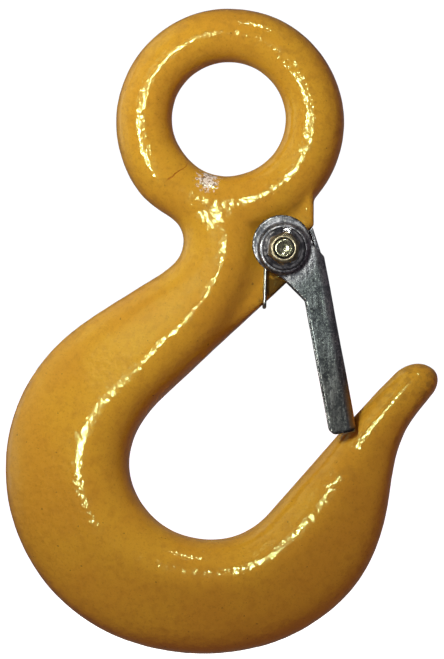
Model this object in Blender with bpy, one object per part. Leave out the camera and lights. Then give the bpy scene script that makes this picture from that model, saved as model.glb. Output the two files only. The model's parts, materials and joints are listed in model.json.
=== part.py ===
"""Eye sling hook with a spring latch, for 10 mm chain. Metres, +Z up.

The origin is the centre of the eye. The hook lies in the XZ plane, its tip
is on the +X side, and +Y is the side where the pivot bolt has its head.
"""

import math

import bmesh
import bpy
from mathutils import Vector

MM = 0.001
GAP = 0.3 * MM
CLEAR = 0.6 * MM

# Eye: a round hole in a ring whose outside is slightly off centre
EYE_HOLE_RADIUS = 15.6 * MM
EYE_OUTER_RADIUS = 31.05 * MM
EYE_OUTER_OFFSET = (0.35 * MM, -1.0 * MM)
EYE_HALF_THICKNESS = 7.0 * MM
EYE_SECTIONS = 60
EYE_SECTION_POINTS = 16

# Shank, bowl and point
SECTION_POINTS = 22
SECTION_FULLNESS = 2.15
FLANK_SLOPE = 0.30
RIDGE_BEND = 2.0 * MM
BACK_FULLNESS = 7.0
STATION_STEP = 4.6 * MM
TIP_CAP_LENGTH = 6.7 * MM
TIP_CAP_ANGLES = (22.0, 42.0, 58.0, 71.0, 81.0)
TIP_CAP_BLUNTNESS = 0.95

# Each station pairs a point on the throat side with a point on the back:
# (x, z, heading in degrees), (x, z, heading), place of the thickest line, half thickness
STATIONS = (
    ((8.0, -21.5, -90.0), (-17.5, -25.5, -40.7), 0.50, 6.2),
    ((8.6, -35.0, -92.0), (-12.5, -32.4, -85.3), 0.45, 8.3),
    ((4.6, -49.5, -117.0), (-14.5, -39.1, -131.4), 0.42, 9.2),
    ((-6.5, -65.2, -137.4), (-24.9, -46.4, -147.6), 0.39, 10.3),
    ((-18.5, -76.4, -135.6), (-42.5, -58.0, -142.0), 0.32, 11.0),
    ((-27.3, -94.5, -89.7), (-60.9, -95.9, -89.2), 0.36, 11.4),
    ((-20.3, -109.2, -43.4), (-43.9, -133.0, -40.5), 0.34, 11.4),
    ((-5.7, -115.0, -2.6), (-6.5, -146.0, 0.0), 0.34, 11.4),
    ((10.7, -108.2, 48.4), (33.0, -129.0, 49.3), 0.36, 10.8),
    ((21.4, -96.1, 48.7), (43.5, -105.0, 80.8), 0.41, 8.9),
    ((29.8, -86.5, 49.1), (45.8, -91.6, 75.3), 0.46, 6.6),
    ((38.2, -77.3, 47.0), (48.4, -84.6, 62.1), 0.50, 6.1),
    ((45.2, -70.0, 45.0), (55.3, -75.3, 52.0), 0.50, 5.7),
)

# Pivot of the latch and the lug that carries it
LUG_NOSE_STEPS = 14
CUTTER_REACH = 20.0 * MM
PIVOT = (14.84 * MM, -35.64 * MM)
LUG_HALF_THICKNESS = 4.5 * MM
LUG_RIGHT = 23.1 * MM
LUG_CORNER_Z = -29.3 * MM
LUG_NOSE_RADIUS = 7.9 * MM
PIN_HOLE_RADIUS = 2.85 * MM
LUG_NOSE_START = 38.0
LUG_TAIL = 2.0 * MM
LUG_ROOT = ((-13.0, -58.7), (0.0, -45.0), (0.0, -24.0), (12.0, -17.0))
THROAT_POINT = (-5.6 * MM, -64.39 * MM)
THROAT_SLOPE = math.radians(42.8)

# Latch: a channel with two ears, drawn as it hangs straight down from its pivot
LATCH_LEAN = math.radians(10.6)
SHEET = 1.2 * MM
CHANNEL_OPEN_EDGE = -12.0 * MM
LATCH_HALF_WIDTH = 8.3 * MM
LATCH_BEND_RADIUS = 2.4 * MM
LATCH_WEB = 10.5 * MM
LATCH_FLANGE_EDGE = 3.3 * MM
LATCH_END = 52.1 * MM
WEB_END = 51.6 * MM
WEB_END_HALF_WIDTH = 6.8 * MM
LATCH_END_RADIUS = 1.6 * MM
LATCH_HEEL_RADIUS = 1.0 * MM
WEB_TOP = 5.6 * MM
TAPER_TOP = (-0.96 * MM, 8.73 * MM)
TAPER_BOTTOM = 15.0 * MM
EAR_RADIUS = 8.0 * MM
EAR_CENTRE = (-0.27 * MM, -1.25 * MM)
EAR_HOLE_RADIUS = 2.85 * MM
EAR_OPENING_RADIUS = 6.65 * MM
EAR_ARC = (245.0, -7.0)
EAR_STEPS = 26
CORNER_STEPS = 4
BOSS_BASE_RADIUS = 7.2 * MM
BOSS_TOP_RADIUS = 6.4 * MM
BOSS_HEIGHT = 1.2 * MM
BOSS_EDGE = (0.15 * MM, 0.12 * MM)
BOSS_OVERLAP = 0.05 * MM
BOSS_UNDERLAP = 0.06 * MM
BOSS_WALL = (0.75 * MM, 1.0 * MM)
TAB_HALF_WIDTH = 4.2 * MM
TAB_TOP = (8.95 * MM, -4.15 * MM)
TAB_TOP_DROP = 0.6 * MM
TAB_FOOT = (9.9 * MM, 3.5 * MM)
TAB_SINK = 0.1 * MM
TAB_OVERLAP = (0.8 * MM, 3.0 * MM)

# Spring: two coils, a bridge under the throat and two free legs in the channel
WIRE_RADIUS = 0.5 * MM
COIL_RADIUS = 4.7 * MM
COIL_PITCH = 1.15 * MM
COIL_START_Y = LUG_HALF_THICKNESS + GAP + WIRE_RADIUS
COIL_POINTS = 22
BRIDGE = (9.65 * MM, -51.45 * MM)
BRIDGE_BEND = 1.4 * MM
BRIDGE_BEND_ANGLES = (0.0, 30.0, 60.0, 90.0)
FREE_LEG_REACH = 20.0 * MM
FREE_LEG_Y = 5.6 * MM
FREE_LEG_SHARES = (0.12, 0.25, 0.42, 0.6, 1.0)
FREE_LEG_EASE = 0.6

# Bolt, lock nut and its nylon ring
BOLT_RADIUS = 2.5 * MM
HEX_ACROSS_FLATS = 8.0 * MM
HEX_TURN = 20.0
HEX_FOOT = 0.5 * MM
HEX_CROWN_RADIUS = 0.47 * HEX_ACROSS_FLATS
HEX_CROWN_DROP = 2.2 * MM
HEX_CROWN_REACH = 8.0 * MM
FLANGE_RADIUS = 5.9 * MM
FLANGE_RIM = 0.9 * MM
FLANGE_HEIGHT = 2.0 * MM
FLANGE_TOP_RADIUS = 4.0 * MM
FLANGE_EDGE = (0.15 * MM, 0.2 * MM)
HEAD_HEIGHT = 5.2 * MM
NUT_HEIGHT = 6.0 * MM
NUT_BORE_RADIUS = 2.8 * MM
RING_SEAT_RADIUS = 3.35 * MM
RING_SEAT_DEPTH = 1.7 * MM
RING_OUTER_RADIUS = 3.05 * MM
RING_INNER_RADIUS = 2.75 * MM
RING_END_GAPS = (0.3 * MM, 0.25 * MM)
BOLT_PROTRUSION = 0.5 * MM
BOLT_CHAMFER = 0.45 * MM
SHANK_ROOT = 0.4 * MM
ROUND_SIDES = 32

# Seat for the latch's end, cut across the inner side of the point
SEAT_GAP = 0.35 * MM
SEAT_TOP = 42.0 * MM
SEAT_WIDTH = 9.0 * MM
SEAT_STEPS = 4
SEAT_REACH = 12.0 * MM


def clear_scene():
    for item in list(bpy.data.objects):
        bpy.data.objects.remove(item, do_unlink=True)


def material(name, colour, roughness, metallic):
    """A Principled material with one colour."""
    made = bpy.data.materials.new(name)
    made.use_nodes = True
    shader = made.node_tree.nodes["Principled BSDF"]
    shader.inputs["Base Color"].default_value = (*colour, 1.0)
    shader.inputs["Roughness"].default_value = roughness
    shader.inputs["Metallic"].default_value = metallic
    return made


def add_object(name, shape, finish, sharp_angle=35.0):
    """Turn a bmesh into an object of its own, with outward faces and smooth rounds."""
    bmesh.ops.recalc_face_normals(shape, faces=shape.faces)
    mesh = bpy.data.meshes.new(name)
    shape.to_mesh(mesh)
    shape.free()
    mesh.shade_smooth()
    mesh.set_sharp_from_angle(angle=math.radians(sharp_angle))
    if finish is not None:
        mesh.materials.append(finish)
    item = bpy.data.objects.new(name, mesh)
    bpy.context.scene.collection.objects.link(item)
    return item


def add_helper(name, shape):
    """A body that only cuts or joins another one."""
    item = add_object(name, shape, None)
    item.hide_render = True
    item.display_type = "WIRE"
    return item


def combine(item, other, operation):
    """Keep a Boolean with another body on an object."""
    step = item.modifiers.new(other.name, "BOOLEAN")
    step.operation = operation
    step.solver = "EXACT"
    step.object = other


def rings_to_shape(rings, closed=False):
    """Skin a list of equal rings of points; an open skin gets flat end caps."""
    shape = bmesh.new()
    made = [[shape.verts.new(point) for point in ring] for ring in rings]
    count = len(made[0])
    pairs = list(zip(made, made[1:]))
    if closed:
        pairs.append((made[-1], made[0]))
    for first, second in pairs:
        for i in range(count):
            j = (i + 1) % count
            shape.faces.new((first[i], first[j], second[j], second[i]))
    if not closed:
        shape.faces.new(made[0])
        shape.faces.new(list(reversed(made[-1])))
    return shape


def prism(outline, low_y, high_y):
    """Extrude a closed outline of (x, z) points along Y."""
    rings = [[(x, y, z) for x, z in outline] for y in (low_y, high_y)]
    return rings_to_shape(rings)


def turned(profile, sides=ROUND_SIDES):
    """Spin a closed (radius, y) profile round the Y axis."""
    rings = []
    for i in range(sides):
        turn = 2.0 * math.pi * i / sides
        rings.append([(r * math.cos(turn), y, r * math.sin(turn)) for r, y in profile])
    return rings_to_shape(rings, closed=True)


def solid_of_revolution(profile, sides=ROUND_SIDES):
    """A turned body without a hole: (radius, y) from one end to the other."""
    rings = []
    for r, y in profile:
        ring = []
        for i in range(sides):
            turn = 2.0 * math.pi * i / sides
            ring.append((r * math.cos(turn), y, r * math.sin(turn)))
        rings.append(ring)
    return rings_to_shape(rings)


def arc(centre, radius, start, end, steps):
    """Points on an arc, from one angle to another, both in degrees."""
    points = []
    for i in range(steps + 1):
        turn = math.radians(start + (end - start) * i / steps)
        points.append((centre[0] + radius * math.cos(turn), centre[1] + radius * math.sin(turn)))
    return points


def curve_between(start, end, share):
    """A point on the arc-like cubic between two (x, z, heading) points, in metres."""
    first = Vector((start[0], start[1])) * MM
    last = Vector((end[0], end[1])) * MM
    turn = math.radians(end[2] - start[2])
    turn = math.atan2(math.sin(turn), math.cos(turn))
    chord = (last - first).length
    reach = chord / 3.0
    if abs(turn) > 0.01:
        reach = chord * 2.0 * math.tan(turn / 4.0) / (3.0 * math.sin(turn / 2.0))
    leave = Vector((math.cos(math.radians(start[2])), math.sin(math.radians(start[2]))))
    arrive = Vector((math.cos(math.radians(end[2])), math.sin(math.radians(end[2]))))
    handle_a = first + leave * reach
    handle_b = last - arrive * reach
    rest = 1.0 - share
    return (
        first * rest**3
        + handle_a * 3.0 * rest**2 * share
        + handle_b * 3.0 * rest * share**2
        + last * share**3
    )


def power(value, exponent):
    return math.copysign(abs(value) ** exponent, value)


def back_depth(share, length, half_thickness):
    """Half thickness between the ridge (share 0) and the back (share 1): a sloping flank."""
    bend = RIDGE_BEND / length
    fall = (math.hypot(share, bend) - bend) / (math.hypot(1.0, bend) - bend)
    flank = half_thickness - FLANK_SLOPE * length * fall
    return flank * math.sqrt(1.0 - share**BACK_FULLNESS)


def section(inner, outer, crest, half_thickness):
    """One ring round the metal between a throat side point and a back point."""
    top = inner + (outer - inner) * crest
    ring = []
    for i in range(SECTION_POINTS):
        turn = 2.0 * math.pi * i / SECTION_POINTS
        across = power(math.cos(turn), 2.0 / SECTION_FULLNESS)
        if across > 0.0:
            side = outer - top
            depth = math.copysign(back_depth(across, side.length, half_thickness), math.sin(turn))
        else:
            side = top - inner
            depth = half_thickness * power(math.sin(turn), 2.0 / SECTION_FULLNESS)
        place = top + side * across
        ring.append((place.x, depth, place.y))
    return ring


def smooth_step(share):
    return share * share * (3.0 - 2.0 * share)


def shank_rings():
    """Sections from inside the eye, down the shank, round the bowl and up to the point."""
    rings = []
    for start, end in zip(STATIONS, STATIONS[1:]):
        length = max(
            math.dist(start[0][:2], end[0][:2]),
            math.dist(start[1][:2], end[1][:2]),
        )
        steps = max(2, round(length * MM / STATION_STEP))
        for i in range(steps):
            share = i / steps
            inner = curve_between(start[0], end[0], share)
            outer = curve_between(start[1], end[1], share)
            blend = smooth_step(share)
            crest = start[2] + (end[2] - start[2]) * blend
            half = start[3] + (end[3] - start[3]) * blend
            rings.append(section(inner, outer, crest, half * MM))
    return rings + tip_rings()


def tip_rings():
    """The blunt round end of the point."""
    inner_end, outer_end, crest, half = STATIONS[-1]
    inner = Vector(inner_end[:2]) * MM
    outer = Vector(outer_end[:2]) * MM
    middle = (inner + outer) / 2.0
    heading = math.radians((inner_end[2] + outer_end[2]) / 2.0)
    forward = Vector((math.cos(heading), math.sin(heading)))
    rings = [section(inner, outer, crest, half * MM)]
    for angle in TIP_CAP_ANGLES:
        shrink = math.cos(math.radians(angle)) ** TIP_CAP_BLUNTNESS
        shift = forward * TIP_CAP_LENGTH * math.sin(math.radians(angle))
        near = middle + (inner - middle) * shrink + shift
        far = middle + (outer - middle) * shrink + shift
        rings.append(section(near, far, crest, half * MM * shrink))
    return rings


def eye_rings():
    """Round sections along the eye; the hole and the outside have their own centres."""
    rings = []
    for i in range(EYE_SECTIONS):
        turn = 2.0 * math.pi * i / EYE_SECTIONS
        direction = Vector((math.cos(turn), math.sin(turn)))
        offset = Vector(EYE_OUTER_OFFSET)
        along = direction.dot(offset)
        outside = along + math.sqrt(along**2 - offset.length_squared + EYE_OUTER_RADIUS**2)
        middle = (outside + EYE_HOLE_RADIUS) / 2.0
        half = (outside - EYE_HOLE_RADIUS) / 2.0
        ring = []
        for j in range(EYE_SECTION_POINTS):
            around = 2.0 * math.pi * j / EYE_SECTION_POINTS
            reach = middle + half * math.cos(around)
            depth = EYE_HALF_THICKNESS * math.sin(around)
            ring.append((direction.x * reach, depth, direction.y * reach))
        rings.append(ring)
    return rings


def lug_outline():
    """Side outline of the lug: down its right edge, round the pivot, along the throat."""
    throat = Vector(THROAT_POINT)
    uphill = Vector((math.cos(THROAT_SLOPE), math.sin(THROAT_SLOPE)))
    outward = Vector((uphill.y, -uphill.x))
    depth = (throat - Vector(PIVOT)).dot(outward)
    half_span = math.degrees(math.acos(depth / LUG_NOSE_RADIUS))
    nose_end = math.degrees(math.atan2(outward.y, outward.x)) - half_span
    tail = throat - uphill * LUG_TAIL
    points = [(LUG_RIGHT, LUG_ROOT[-1][1] * MM), (LUG_RIGHT, LUG_CORNER_Z)]
    points += arc(PIVOT, LUG_NOSE_RADIUS, LUG_NOSE_START, nose_end, LUG_NOSE_STEPS)
    points.append((tail.x, tail.y))
    points += [(x * MM, z * MM) for x, z in LUG_ROOT]
    return points


def latch_point(across, down):
    """A point of the closed latch, in the XZ plane."""
    lean = (math.cos(LATCH_LEAN), math.sin(LATCH_LEAN))
    x = PIVOT[0] + across * lean[0] + down * lean[1]
    z = PIVOT[1] + across * lean[1] - down * lean[0]
    return x, z


def seat_outline():
    """The notch for the end of the latch's web: a wall along it, and a floor round the pivot."""
    wall = LATCH_WEB + SEAT_GAP
    run = wall - SEAT_WIDTH
    heel = math.hypot(LATCH_WEB - LATCH_HEEL_RADIUS, WEB_END - LATCH_HEEL_RADIUS)
    floor_radius = heel + LATCH_HEEL_RADIUS + SEAT_GAP
    points = [latch_point(wall, SEAT_TOP)]
    for i in range(SEAT_STEPS + 1):
        across = wall + (run - wall) * i / SEAT_STEPS
        points.append(latch_point(across, math.sqrt(floor_radius**2 - across**2)))
    points.append(latch_point(run, SEAT_TOP))
    return points


def build_hook_body(finish):
    body = add_object("hook_body", rings_to_shape(shank_rings()), finish)
    eye = add_helper("eye_ring_form", rings_to_shape(eye_rings(), closed=True))
    lug = add_helper("lug_form", prism(lug_outline(), -LUG_HALF_THICKNESS, LUG_HALF_THICKNESS))
    hole = add_helper("pin_hole_cutter", pin_cylinder(PIN_HOLE_RADIUS, CUTTER_REACH))
    seat = add_helper("latch_seat_cutter", prism(seat_outline(), -SEAT_REACH, SEAT_REACH))
    combine(body, eye, "UNION")
    combine(body, lug, "UNION")
    combine(body, hole, "DIFFERENCE")
    combine(body, seat, "DIFFERENCE")
    return body


def pin_cylinder(radius, half_length):
    """A round bar on the pivot axis."""
    shape = solid_of_revolution([(radius, -half_length), (radius, half_length)])
    bmesh.ops.translate(shape, verts=shape.verts, vec=(PIVOT[0], 0.0, PIVOT[1]))
    return shape


def latch_place(across, down, y=0.0):
    """A point of the hanging latch, in its own frame."""
    return (across, y, -down)


def channel_shape():
    """A long U channel along the latch, open on the bowl side."""
    inner = LATCH_BEND_RADIUS - SHEET
    web = LATCH_WEB - LATCH_BEND_RADIUS
    side = LATCH_HALF_WIDTH - LATCH_BEND_RADIUS
    profile = [(CHANNEL_OPEN_EDGE, -LATCH_HALF_WIDTH)]
    profile += arc((web, -side), LATCH_BEND_RADIUS, -90.0, 0.0, CORNER_STEPS)
    profile += arc((web, side), LATCH_BEND_RADIUS, 0.0, 90.0, CORNER_STEPS)
    profile += [(CHANNEL_OPEN_EDGE, LATCH_HALF_WIDTH), (CHANNEL_OPEN_EDGE, LATCH_HALF_WIDTH - SHEET)]
    profile += arc((web, side), inner, 90.0, 0.0, CORNER_STEPS)
    profile += arc((web, -side), inner, 0.0, -90.0, CORNER_STEPS)
    profile += [(CHANNEL_OPEN_EDGE, SHEET - LATCH_HALF_WIDTH)]
    rings = []
    for down in (-EAR_RADIUS + 2.0 * EAR_CENTRE[1], LATCH_END + CLEAR):
        rings.append([latch_place(across, down, y) for across, y in profile])
    return rings_to_shape(rings)


def latch_outline():
    """Side outline of ear and arm, clockwise from the ear's lower left."""
    points = arc((EAR_CENTRE[0], -EAR_CENTRE[1]), EAR_RADIUS, *EAR_ARC, EAR_STEPS)
    points += [(LATCH_WEB + CLEAR, -WEB_TOP), (LATCH_WEB + CLEAR, -LATCH_END + LATCH_HEEL_RADIUS)]
    heel = (LATCH_WEB - LATCH_HEEL_RADIUS, -LATCH_END + LATCH_HEEL_RADIUS)
    points += arc(heel, LATCH_HEEL_RADIUS, 0.0, -90.0, CORNER_STEPS)
    corner = (LATCH_FLANGE_EDGE + LATCH_END_RADIUS, -LATCH_END + LATCH_END_RADIUS)
    points += arc(corner, LATCH_END_RADIUS, 270.0, 180.0, CORNER_STEPS)
    points += [(LATCH_FLANGE_EDGE, -TAPER_BOTTOM), (TAPER_TOP[0], -TAPER_TOP[1])]
    return points


def web_end_outline():
    """What is cut away below the web, so that its end is shorter than the two flanges."""
    below = -LATCH_END - CLEAR
    heel = (LATCH_WEB - LATCH_HEEL_RADIUS, -WEB_END + LATCH_HEEL_RADIUS)
    points = [(0.0, below), (0.0, -WEB_END)]
    points += arc(heel, LATCH_HEEL_RADIUS, -90.0, 0.0, CORNER_STEPS)
    points += [(LATCH_WEB + CLEAR, heel[1]), (LATCH_WEB + CLEAR, below)]
    return points


def boss_profile(side):
    """The raised round on one ear, as a turned shell."""
    face = LATCH_HALF_WIDTH
    under = face - SHEET
    points = [
        (BOSS_BASE_RADIUS - BOSS_OVERLAP, face - BOSS_OVERLAP),
        (BOSS_TOP_RADIUS + BOSS_EDGE[0], face + BOSS_HEIGHT - BOSS_EDGE[1]),
        (BOSS_TOP_RADIUS, face + BOSS_HEIGHT),
        (EAR_HOLE_RADIUS, face + BOSS_HEIGHT),
        (EAR_HOLE_RADIUS, under + BOSS_HEIGHT),
        (BOSS_TOP_RADIUS - BOSS_WALL[0], under + BOSS_HEIGHT),
        (BOSS_BASE_RADIUS - BOSS_WALL[1], under + BOSS_UNDERLAP),
        (BOSS_BASE_RADIUS - BOSS_OVERLAP, under + BOSS_UNDERLAP),
    ]
    return [(r, side * y) for r, y in points]


def tab_shape():
    """The tongue above the web that rests behind the lug's right edge."""
    outer_top = Vector((TAB_TOP[0], -TAB_TOP[1]))
    outer_foot = Vector((TAB_FOOT[0], -TAB_FOOT[1]))
    inward = Vector((-SHEET, 0.0))
    bottom = Vector((LATCH_WEB - TAB_SINK, -WEB_TOP - TAB_OVERLAP[0]))
    low = Vector((LATCH_WEB - TAB_SINK, -WEB_TOP - TAB_OVERLAP[1]))
    outline = [outer_top, outer_foot, bottom, low, low + inward, bottom + inward]
    outline += [outer_foot + inward, outer_top + inward - Vector((0.0, TAB_TOP_DROP))]
    return prism([tuple(point) for point in outline], -TAB_HALF_WIDTH, TAB_HALF_WIDTH)


def build_latch(finish):
    """The latch, with its origin on the pivot axis."""
    latch = add_object("latch", channel_shape(), finish)
    reach = 2.0 * LATCH_HALF_WIDTH
    opening = [(EAR_OPENING_RADIUS, -reach), (EAR_OPENING_RADIUS, reach)]
    parts = [
        ("latch_outline_form", prism(latch_outline(), -reach, reach), "INTERSECT"),
        ("ear_opening_cutter", solid_of_revolution(opening), "DIFFERENCE"),
        ("web_end_cutter", prism(web_end_outline(), -WEB_END_HALF_WIDTH, WEB_END_HALF_WIDTH), "DIFFERENCE"),
        ("front_boss_form", turned(boss_profile(-1.0)), "UNION"),
        ("rear_boss_form", turned(boss_profile(1.0)), "UNION"),
        ("tab_form", tab_shape(), "UNION"),
    ]
    pivot = Vector((PIVOT[0], 0.0, PIVOT[1]))
    for name, shape, operation in parts:
        helper = add_helper(name, shape)
        helper.location = pivot
        helper.rotation_euler = (0.0, -LATCH_LEAN, 0.0)
        combine(latch, helper, operation)
    latch.location = pivot
    latch.rotation_euler = (0.0, -LATCH_LEAN, 0.0)
    return latch


def tangent_point(outside, centre, radius, side):
    """Where a straight wire from an outside point touches the coil; side picks one of two."""
    gap = outside - centre
    base = math.atan2(gap.y, gap.x)
    spread = math.acos(radius / gap.length)
    turn = base + side * spread
    return turn, centre + Vector((math.cos(turn), math.sin(turn))) * radius


def spring_half(side):
    """The wire's centre line on one side, from the bridge to the free end."""
    pivot = Vector(PIVOT)
    bridge = Vector(BRIDGE)
    down = Vector((math.sin(LATCH_LEAN), -math.cos(LATCH_LEAN)))
    across = Vector((math.cos(LATCH_LEAN), math.sin(LATCH_LEAN)))
    web_face = LATCH_WEB - SHEET - GAP - WIRE_RADIUS
    free_end = pivot + down * FREE_LEG_REACH + across * web_face
    start, first_touch = tangent_point(bridge, pivot, COIL_RADIUS, -1.0)
    end, last_touch = tangent_point(free_end, pivot, COIL_RADIUS, 1.0)
    leg = (first_touch - bridge).normalized()
    points = []
    for angle in BRIDGE_BEND_ANGLES:
        turn = math.radians(angle)
        y = COIL_START_Y - BRIDGE_BEND * (1.0 - math.sin(turn))
        rise = bridge + leg * BRIDGE_BEND * (1.0 - math.cos(turn))
        points.append((rise.x, side * y, rise.y))
    sweep = (start - end) % (2.0 * math.pi) + 2.0 * math.pi
    steps = round(sweep / (2.0 * math.pi) * COIL_POINTS)
    for i in range(steps + 1):
        share = i / steps
        turn = start - sweep * share
        y = COIL_START_Y + COIL_PITCH * sweep * share / (2.0 * math.pi)
        place = pivot + Vector((math.cos(turn), math.sin(turn))) * COIL_RADIUS
        points.append((place.x, side * y, place.y))
    last_y = abs(points[-1][1])
    for share in FREE_LEG_SHARES:
        place = last_touch + (free_end - last_touch) * share
        ease = smooth_step(min(1.0, share / FREE_LEG_EASE))
        y = last_y + (FREE_LEG_Y - last_y) * ease
        points.append((place.x, side * y, place.y))
    return points


def build_spring(finish):
    """One wire with filled ends: front leg, front coil, bridge, rear coil, rear leg."""
    front = spring_half(-1.0)
    rear = spring_half(1.0)
    route = list(reversed(front)) + rear
    curve = bpy.data.curves.new("latch_spring", "CURVE")
    curve.dimensions = "3D"
    curve.bevel_depth = WIRE_RADIUS
    curve.bevel_resolution = 2
    curve.use_fill_caps = True
    wire = curve.splines.new("POLY")
    wire.points.add(len(route) - 1)
    for point, place in zip(wire.points, route):
        point.co = (*place, 1.0)
    curve.materials.append(finish)
    item = bpy.data.objects.new("latch_spring", curve)
    bpy.context.scene.collection.objects.link(item)
    return item


def hexagon(y):
    """The six corners of the hex at a distance along Y."""
    corner = HEX_ACROSS_FLATS / math.sqrt(3.0)
    ring = []
    for i in range(6):
        turn = math.radians(60.0 * i + HEX_TURN)
        ring.append((corner * math.cos(turn), y, corner * math.sin(turn)))
    return ring


def flanged_hex(name, height, side, finish):
    """A hex on a conical flange; side is the way it stands out along Y."""
    flange = [
        (FLANGE_RADIUS - FLANGE_EDGE[0], 0.0),
        (FLANGE_RADIUS, FLANGE_EDGE[1]),
        (FLANGE_RADIUS, FLANGE_RIM),
        (FLANGE_TOP_RADIUS, FLANGE_HEIGHT),
    ]
    item = add_object(name, solid_of_revolution([(r, side * y) for r, y in flange]), finish)
    hex_form = rings_to_shape([hexagon(side * HEX_FOOT), hexagon(side * height)])
    crown_profile = [
        (HEX_CROWN_REACH, 0.0),
        (HEX_CROWN_REACH, side * (height - HEX_CROWN_DROP)),
        (HEX_CROWN_RADIUS, side * height),
    ]
    prism_form = add_helper(name + "_hex_form", hex_form)
    crown = add_helper(name + "_crown_cutter", solid_of_revolution(crown_profile))
    combine(prism_form, crown, "INTERSECT")
    combine(item, prism_form, "UNION")
    return item, [prism_form, crown]


def build_nut(finish):
    """Flanged lock nut on the front, bored for the bolt, with a seat for its ring."""
    nut, helpers = flanged_hex("lock_nut", NUT_HEIGHT, -1.0, finish)
    bore = add_helper(
        "nut_bore_cutter",
        solid_of_revolution([
            (NUT_BORE_RADIUS, CLEAR),
            (NUT_BORE_RADIUS, RING_SEAT_DEPTH - NUT_HEIGHT),
            (RING_SEAT_RADIUS, RING_SEAT_DEPTH - NUT_HEIGHT),
            (RING_SEAT_RADIUS, -NUT_HEIGHT - CLEAR),
        ]),
    )
    combine(nut, bore, "DIFFERENCE")
    place_on_pivot([nut, bore] + helpers, -nut_base())
    return nut


def nut_base():
    """Distance from the hook's middle plane to the nut and to the bolt's head."""
    return LATCH_HALF_WIDTH + BOSS_HEIGHT + GAP


def place_on_pivot(items, y):
    for item in items:
        item.location = (PIVOT[0], y, PIVOT[1])


def build_ring(finish):
    """The nylon ring in the nut's outer end."""
    low = RING_END_GAPS[0]
    high = RING_SEAT_DEPTH - RING_END_GAPS[1]
    profile = [
        (RING_INNER_RADIUS, low),
        (RING_OUTER_RADIUS, low),
        (RING_OUTER_RADIUS, high),
        (RING_INNER_RADIUS, high),
    ]
    ring = add_object("nut_insert", turned([(r, -y) for r, y in profile]), finish)
    place_on_pivot([ring], -(nut_base() + NUT_HEIGHT - RING_SEAT_DEPTH))
    return ring


def build_bolt(finish):
    """Flanged bolt: head on the rear ear, end standing just out of the nut."""
    bolt, helpers = flanged_hex("latch_bolt", HEAD_HEIGHT, 1.0, finish)
    length = 2.0 * nut_base() + NUT_HEIGHT + BOLT_PROTRUSION
    shank_profile = [
        (BOLT_RADIUS, SHANK_ROOT),
        (BOLT_RADIUS, BOLT_CHAMFER - length),
        (BOLT_RADIUS - BOLT_CHAMFER, -length),
    ]
    shank = add_helper("bolt_shank_form", solid_of_revolution(shank_profile))
    combine(bolt, shank, "UNION")
    place_on_pivot([bolt, shank] + helpers, nut_base())
    return bolt


def main():
    clear_scene()
    enamel = material("yellow_enamel", (0.80, 0.50, 0.05), 0.28, 0.0)
    zinc = material("zinc_plate", (0.45, 0.48, 0.50), 0.42, 1.0)
    wire = material("spring_wire", (0.40, 0.40, 0.39), 0.35, 1.0)
    bronze = material("passivated_steel", (0.52, 0.45, 0.36), 0.35, 1.0)
    steel = material("bolt_steel", (0.70, 0.70, 0.66), 0.28, 1.0)
    nylon = material("black_nylon", (0.02, 0.02, 0.02), 0.50, 0.0)
    build_hook_body(enamel)
    build_latch(zinc)
    build_spring(wire)
    build_nut(bronze)
    build_ring(nylon)
    build_bolt(steel)


main()
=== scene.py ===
"""Looks of the eye hook with latch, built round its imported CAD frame. Metres, +Z up."""

import json
import math

import bmesh
import bpy
import numpy as np
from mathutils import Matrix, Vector, noise


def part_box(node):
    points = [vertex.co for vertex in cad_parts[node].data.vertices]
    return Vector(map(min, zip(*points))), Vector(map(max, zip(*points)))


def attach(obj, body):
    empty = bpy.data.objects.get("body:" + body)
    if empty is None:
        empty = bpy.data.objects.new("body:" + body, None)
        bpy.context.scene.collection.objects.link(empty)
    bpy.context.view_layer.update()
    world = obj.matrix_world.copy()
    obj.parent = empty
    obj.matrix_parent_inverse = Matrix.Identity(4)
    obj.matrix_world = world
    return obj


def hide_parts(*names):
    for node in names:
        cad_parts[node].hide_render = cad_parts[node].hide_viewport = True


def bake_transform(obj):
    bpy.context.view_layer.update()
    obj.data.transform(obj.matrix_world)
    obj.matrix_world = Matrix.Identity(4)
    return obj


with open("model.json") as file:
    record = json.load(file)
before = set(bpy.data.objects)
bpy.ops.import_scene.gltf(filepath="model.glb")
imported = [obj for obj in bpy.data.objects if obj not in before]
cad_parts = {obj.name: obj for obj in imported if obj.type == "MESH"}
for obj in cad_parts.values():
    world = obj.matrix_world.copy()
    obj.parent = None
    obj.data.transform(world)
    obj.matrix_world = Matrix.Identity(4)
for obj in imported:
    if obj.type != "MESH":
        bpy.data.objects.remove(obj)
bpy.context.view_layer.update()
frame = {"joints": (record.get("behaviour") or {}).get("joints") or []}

MM = 0.001
PIVOT = Vector(frame["joints"][0]["pos_m"]).xz
PIVOT_CENTRE = (PIVOT[0], 0.0, PIVOT[1])
BODY_LOW, BODY_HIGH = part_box("hook_body")
NUT_LOW, NUT_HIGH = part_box("lock_nut")
BOLT_LOW, BOLT_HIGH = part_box("latch_bolt")

# Sizes follow the CAD's, in finer steps.
# Eye: the hole and the outside of the ring have their own centres
EYE_HOLE_RADIUS = 15.6 * MM
EYE_OUTER_RADIUS = 31.05 * MM
EYE_OUTER_OFFSET = (0.35 * MM, -1.0 * MM)
EYE_HALF_THICKNESS = 7.0 * MM
EYE_SECTIONS = 200
EYE_SECTION_POINTS = 72

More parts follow.
